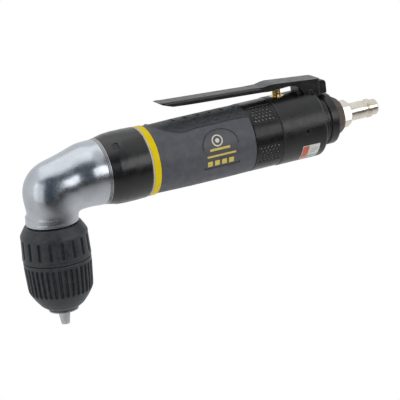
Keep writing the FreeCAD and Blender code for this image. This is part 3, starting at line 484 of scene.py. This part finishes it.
# which finish each of the record's slots gets, and the nodes that differ from their slot
slotFinish = {
    "polished_aluminium": "polishedAluminium", "steel": "turnedSteel", "gear_steel": "gearSteel",
    "bright_steel": "jawSteel", "chuck_plastic": "chuckPlastic", "black_coupling": "blackCoupling",
    "case_aluminium": "caseAluminium", "grip_rubber": "gripRubber", "yellow_plastic": "yellowPlastic",
    "badge_plastic": "badgePlastic", "black_plastic": "blackPlastic", "felt": "felt",
    "vane_laminate": "vaneLaminate", "black_housing": "blackHousing", "black_steel": "leverPaint",
    "brass": "brass", "valve_rubber": "valveRubber", "dark_bronze": "darkBronze",
    "label_film": "labelFilm",
}
nodeFinish = {
    "air_nipple": "nickelPlate", "spacer_ring": "creamSpacer", "chuck_nose_ring": "uprightSteel",
    "bearing_nut": "uprightSteel", "set_screw": "blackHousing", "lever_pin": "leverPaint",
    "chuck_body": "uprightSteel", "rear_cap": "blackHousing", "head_joint_ring": "ringedSteel",
}


def paintNodes(madeFinishes):
    for name, node in nodes.items():
        finish = madeFinishes[nodeFinish.get(name, slotFinish[slotOf[name]])]
        if not node.material_slots:
            node.data.materials.append(finish)
        for place in node.material_slots:
            place.material = finish


slotOf = {}
for row in frame["record"]["subparts"]:
    slotOf[row["node"]] = row["material_slot"]
madeFinishes = {name: makeFinish(name, look) for name, look in finishes.items()}
paintNodes(madeFinishes)
print("stage: finishes")


# pieces made here
def makePiece(name, points, faces, finish, body, smooth=True):
    mesh = bpy.data.meshes.new(name)
    mesh.from_pydata(points, [], faces)
    mesh.validate()
    bm = bmesh.new()
    bm.from_mesh(mesh)
    bmesh.ops.remove_doubles(bm, verts=bm.verts, dist=1e-6)
    bmesh.ops.recalc_face_normals(bm, faces=bm.faces)
    bm.to_mesh(mesh)
    bm.free()
    for face in mesh.polygons:
        face.use_smooth = smooth
    piece = bpy.data.objects.new(name, mesh)
    scene.collection.objects.link(piece)
    mesh.materials.append(madeFinishes[finish])
    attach(piece, body)
    return piece


def ringFaces(rows, columns, closed=False):
    # quads of a grid whose columns go all the way round, and whose last row may join the first
    faces = []
    for i in range(rows if closed else rows - 1):
        k = (i + 1) % rows
        for j in range(columns):
            n = (j + 1) % columns
            faces.append((i * columns + j, i * columns + n, k * columns + n, k * columns + j))
    return faces


def outlineAt(outline, place):
    # straight lines between (place, radius) points
    for (a, ra), (b, rb) in zip(outline, outline[1:]):
        if place <= b:
            return ra + (rb - ra) * (place - a) / (b - a)
    return outline[-1][1]


def smoothStep(low, high, value):
    t = min(max((value - low) / (high - low), 0.0), 1.0)
    return t * t * (3 - 2 * t)


def slotDepth(across, along, start, end, halfWidth, depth):
    # depth of one upright groove with rounded ends and sloped sides, in millimetres
    past = max(start + halfWidth - along, along - end + halfWidth, 0.0)
    distance = math.hypot(across, past)
    return depth * (1 - smoothStep(halfWidth * 0.45, halfWidth, distance))


def makeSleeve(name, spec, node, body):
    # a turned sleeve about the drilling axis with upright grooves round it
    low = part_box(node)[0].z / mm
    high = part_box(node)[1].z / mm
    columns = spec["grooves"] * spec["columnsEach"]
    step = (high - low) / spec["rows"]
    heights = [low + step * i for i in range(spec["rows"] + 1)]
    points = []
    for z in heights:
        base = outlineAt(spec["outline"], z)
        for j in range(columns):
            angle = 2 * math.pi * j / columns
            pitch = 2 * math.pi / spec["grooves"]
            across = (angle / pitch - round(angle / pitch)) * pitch * base
            radius = base - slotDepth(across, z, *spec["span"], spec["halfWidth"], spec["depth"])
            crown = spec["crown"] * (0.5 - 0.5 * math.cos(2 * math.pi * angle / pitch))
            inSpan = smoothStep(spec["span"][0], spec["span"][0] + 1.5, z)
            inSpan *= 1 - smoothStep(spec["span"][1] - 1.5, spec["span"][1], z)
            radius += crown * inSpan
            points.append((radius * mm * math.cos(angle), radius * mm * math.sin(angle), z * mm))
    for z, radius in spec["inside"]:
        for j in range(columns):
            angle = 2 * math.pi * j / columns
            points.append((radius * mm * math.cos(angle), radius * mm * math.sin(angle), z * mm))
    faces = ringFaces(len(heights) + len(spec["inside"]), columns, closed=True)
    piece = makePiece(name, points, faces, "chuckPlastic", body)
    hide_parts(node)
    return piece


frontSleeve = {
    "outline": [(9.0, 8.0), (9.6, 8.6), (12.0, 11.8), (15.0, 14.2), (17.6, 15.9), (19.6, 17.0), (20.6, 17.35),
                (22.5, 17.6), (33.0, 18.25), (36.0, 18.4), (36.8, 18.45), (37.2, 18.3), (37.4, 18.1)],
    "inside": [(37.4, 16.0), (21.0, 16.0), (18.0, 13.8), (11.9, 9.5), (11.9, 6.9), (9.0, 6.9)],
    "grooves": 36, "columnsEach": 18, "rows": 90,
    "span": (19.4, 35.6), "halfWidth": 1.0, "depth": 1.25, "crown": 0.12,
}

rearSleeve = {
    "outline": [(37.8, 18.2), (38.1, 18.45), (38.6, 18.6), (40.2, 18.62), (40.6, 18.5), (50.4, 18.15),
                (50.9, 18.3), (51.7, 18.2), (53.0, 17.6), (55.0, 16.4), (56.4, 15.5), (56.8, 15.1)],
    "inside": [(56.8, 9.6), (54.4, 9.6), (54.4, 16.0), (37.8, 16.0)],
    "grooves": 18, "columnsEach": 28, "rows": 76,
    "span": (40.3, 50.8), "halfWidth": 1.1, "depth": 1.3, "crown": 0.14,
}

makeSleeve("chuckFrontSleeve", frontSleeve, "chuck_front_sleeve", "front_sleeve")
makeSleeve("chuckRearSleeve", rearSleeve, "chuck_rear_sleeve", "spindle")
print("stage: chuck sleeves")

gripShape = {
    "outline": [(58.4, 18.55), (58.7, 18.75), (64.0, 18.9), (80.0, 19.2), (105.0, 19.2), (115.8, 19.05),
                (116.3, 18.85)],
    "inner": 16.6,
    # edge of the textured pad: station along the handle and degrees above the side
    "padEdge": [(58.4, 86.0), (60.5, 84.0), (62.5, 73.0), (66.0, 60.0), (71.5, 50.0), (76.0, 46.3),
                (80.5, 47.0), (86.0, 48.5), (96.0, 48.0), (104.4, 49.0), (114.7, 48.0), (116.3, 48.0)],
    "padStart": 60.6,
    "ridge": 0.42, "ridgeWidth": 0.42,
    "sink": 0.26,
    "sinkFrom": 0.5, "sinkFull": 1.1, "ovalsFrom": 1.2,    # distances in from the edge
    "fadeIn": (59.2, 61.4), "fadeOut": (115.2, 115.9),     # stations where the relief starts and ends
    "rowStep": 0.33,
    "padColumns": 84, "sideColumns": 120,
    # sunk ovals: rows by degrees above the side, first station, pitch and height
    "ovalRows": [(60.5, 76.1), (72.5, 72.4), (84.5, 76.1)],
    "ovalPitch": 7.35, "ovalLong": 1.6, "ovalWide": 1.0, "ovalHeight": -0.45,
}


def curveAt(points, place):
    # smooth line through the points
    for i in range(len(points) - 1):
        a, b = points[i], points[i + 1]
        if place <= b[0] or i == len(points) - 2:
            t = min(max((place - a[0]) / (b[0] - a[0]), 0.0), 1.0)
            before = points[max(i - 1, 0)]
            after = points[min(i + 2, len(points) - 1)]
            slopeA = (b[1] - before[1]) / (b[0] - before[0]) * (b[0] - a[0])
            slopeB = (after[1] - a[1]) / (after[0] - a[0]) * (b[0] - a[0])
            return ((2 * t ** 3 - 3 * t ** 2 + 1) * a[1] + (t ** 3 - 2 * t ** 2 + t) * slopeA
                    + (3 * t ** 2 - 2 * t ** 3) * b[1] + (t ** 3 - t ** 2) * slopeB)
    return points[-1][1]


def padRelief(spec, x, angle, edge, radius):
    # height added on the pad at a station and an angle, both sides alike
    height = 0.0
    tilt = angle if angle <= 90 else 180 - angle
    inside = math.radians(tilt - edge) * radius
    height += spec["ridge"] * math.exp(-(inside / spec["ridgeWidth"]) ** 2)
    if inside > 0:
        height -= spec["sink"] * smoothStep(spec["sinkFrom"], spec["sinkFull"], inside)
    if inside > spec["ovalsFrom"]:
        for row, first in spec["ovalRows"]:
            across = math.radians(tilt - row) * radius / spec["ovalWide"]
            count = round((x - first) / spec["ovalPitch"])
            if abs(across) < 1.2 and 0 <= count <= 5:
                along = (x - first - count * spec["ovalPitch"]) / spec["ovalLong"]
                distance = math.hypot(along, across)
                height += spec["ovalHeight"] * (1 - smoothStep(0.45, 1.05, distance))
    return height


def makeGrip(spec):
    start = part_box("grip_sleeve")[0].x / mm
    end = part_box("grip_sleeve")[1].x / mm
    rows = round((end - start) / spec["rowStep"])
    points = []
    columns = spec["padColumns"] + spec["sideColumns"]
    for i in range(rows + 1):
        x = start + (end - start) * i / rows
        edge = curveAt(spec["padEdge"], x)
        base = outlineAt(spec["outline"], x)
        angles = [edge + (180 - 2 * edge) * j / spec["padColumns"] for j in range(spec["padColumns"])]
        sideStep = (180 + 2 * edge) / spec["sideColumns"]
        angles += [180 - edge + sideStep * j for j in range(spec["sideColumns"])]
        for angle in angles:
            wrapped = angle if angle <= 270 else angle - 360
            fade = smoothStep(*spec["fadeIn"], x) * (1 - smoothStep(*spec["fadeOut"], x))
            radius = base + padRelief(spec, x, wrapped, edge, base) * fade
            turn = math.radians(angle)
            points.append((x * mm, -radius * mm * math.cos(turn), axisZ + radius * mm * math.sin(turn)))
    for x in (end, start):
        for j in range(columns):
            turn = 2 * math.pi * j / columns
            inner = spec["inner"] * mm
            points.append((x * mm, -inner * math.cos(turn), axisZ + inner * math.sin(turn)))
    faces = ringFaces(rows + 3, columns, closed=True)
    piece = makePiece("gripCover", points, faces, "gripRubber", "drill_body")
    piece.data.materials.append(madeFinishes["gripPad"])
    for face in piece.data.polygons:
        x = face.center.x / mm
        turn = math.degrees(math.atan2(face.center.z - axisZ, -face.center.y))
        tilt = turn if turn <= 90 else 180 - turn
        if x > spec["padStart"] and tilt > curveAt(spec["padEdge"], x) + 0.4:
            face.material_index = 1
    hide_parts("grip_sleeve")


makeGrip(gripShape)
print("stage: grip")


def makeSpring():
    # the valve's spring, a copy of its own mesh tied to the drill body
    node = nodes["valve_spring"]
    spring = bpy.data.objects.new("valveSpring", node.data.copy())
    scene.collection.objects.link(spring)
    spring.matrix_world = node.matrix_world.copy()
    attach(spring, "drill_body")
    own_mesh(spring)
    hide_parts("valve_spring")


makeSpring()


def makePrint(name, corners, radius, finish, lift=0.05):
    # thin patch laid round the handle, from rows of (station, distance up the side) points in millimetres
    points, faces = [], []
    columns = len(corners[0])
    rows = len(corners)
    for level in (radius + lift, radius - 0.05):
        for row in corners:
            for x, up in row:
                turn = up / radius
                points.append((x * mm, -level * mm * math.cos(turn), axisZ + level * mm * math.sin(turn)))
    half = rows * columns
    for i in range(rows - 1):
        for j in range(columns - 1):
            a = i * columns + j
            quad = (a, a + 1, a + columns + 1, a + columns)
            faces.append(quad)
            faces.append(tuple(half + k for k in reversed(quad)))
    border = [j for j in range(columns)] + [i * columns + columns - 1 for i in range(1, rows)]
    border += [(rows - 1) * columns + j for j in range(columns - 2, -1, -1)]
    border += [i * columns for i in range(rows - 2, 0, -1)]
    for a, b in zip(border, border[1:] + border[:1]):
        faces.append((a, half + a, half + b, b))
    return makePiece(name, points, faces, finish, "drill_body", smooth=False)


def patchGrid(x0, x1, low, high, lean=0.0):
    # a rectangle, or one whose sides lean as it goes down
    count = 10
    rows = []
    for i in range(count + 1):
        up = high + (low - high) * i / count
        shift = lean * (high - up)
        rows.append([(x0 + shift + (x1 - x0) * j / 6, up) for j in range(7)])
    return rows


def ringGrid(x, up, outer, inner, count=36):
    return [[(x + r * math.cos(2 * math.pi * i / count), up + r * math.sin(2 * math.pi * i / count))
             for r in (outer, inner)] for i in range(count + 1)]


badgeMarks = {
    "radius": 19.36,          # outside of the badge plate
    "middle": 93.4,           # station of the plain ring and dot
    "ringUp": 7.2, "ringOuter": 3.3, "ringInner": 2.55, "dot": 1.25,
    "bars": [(88.0, 100.2, 1.9, 3.2), (85.9, 103.4, -1.5, -0.4)],   # from, to, low, high
    # raised black outline, painted shade of the badge's recess line: its sides, foot, where the arch starts
    # and how high it rises
    "rimSides": (84.2, 105.8), "rimFoot": -8.2, "rimSpring": 4.5, "rimCrown": 9.2, "rimWidth": 0.45,
    "squares": 4, "squareStart": 86.0, "squarePitch": 4.3, "squareSide": 3.0, "squareLow": -6.6,
}


def archGrid(spec):
    # a closed outline with straight sides and an arched top, as outer and inner points
    left, right = spec["rimSides"]
    middle, half = (left + right) / 2, (right - left) / 2
    rows = []
    for inset in (0.0, spec["rimWidth"]):
        side = half - inset
        points = [(middle - side + 2 * side * i / 8, spec["rimFoot"] + inset) for i in range(9)]
        for i in range(25):
            turn = math.pi * i / 24
            rise = (spec["rimCrown"] - inset) * math.sin(turn)
            points.append((middle + side * math.cos(turn), spec["rimSpring"] + rise))
        rows.append(points + points[:1])
    return [list(pair) for pair in zip(*rows)]


def makeBadgeMarks(spec):
    radius = spec["radius"]
    # black strip along the badge outline: painted shade of its recess line
    makePrint("badgeShadeRim", archGrid(spec), radius, "rimShadeBlack", lift=0.16)
    ring = ringGrid(spec["middle"], spec["ringUp"], spec["ringOuter"], spec["ringInner"])
    makePrint("badgeRing", ring, radius, "printCream")
    dot = ringGrid(spec["middle"], spec["ringUp"], spec["dot"], 0.02)
    makePrint("badgeDot", dot, radius, "printCream")
    for i, (start, end, low, high) in enumerate(spec["bars"]):
        makePrint("badgeBar%d" % (i + 1), patchGrid(start, end, low, high), radius, "printYellow")
    for i in range(spec["squares"]):
        x = spec["squareStart"] + spec["squarePitch"] * i
        side = spec["squareSide"]
        patch = patchGrid(x, x + side, spec["squareLow"], spec["squareLow"] + side)
        makePrint("badgeSquare%d" % (i + 1), patch, radius, "printYellow")


labelRadius = 19.61
labelBands = [
    # name, from, to, low, high, finish
    ("labelOrangeBand", 145.7, 149.4, -18.6, -8.6, "labelOrange"),
    ("labelLineOne", 150.6, 155.2, -11.2, -10.8, "labelGrey"),
    ("labelLineTwo", 150.6, 155.2, -12.7, -12.3, "labelGrey"),
    ("labelLineThree", 150.6, 153.8, -14.2, -13.8, "labelGrey"),
    ("labelGreenEdge", 149.8, 155.9, -18.6, -16.6, "labelGreen"),
]

makeBadgeMarks(badgeMarks)
for name, start, end, low, high, finish in labelBands:
    makePrint(name, patchGrid(start, end, low, high), labelRadius, finish)
print("stage: marks")


makeCamera(view)
makeFloor(studio)
makeWorld(studio)
makeLamps(lamps)
scene.view_settings.view_transform = "Standard"
print("stage: studio")
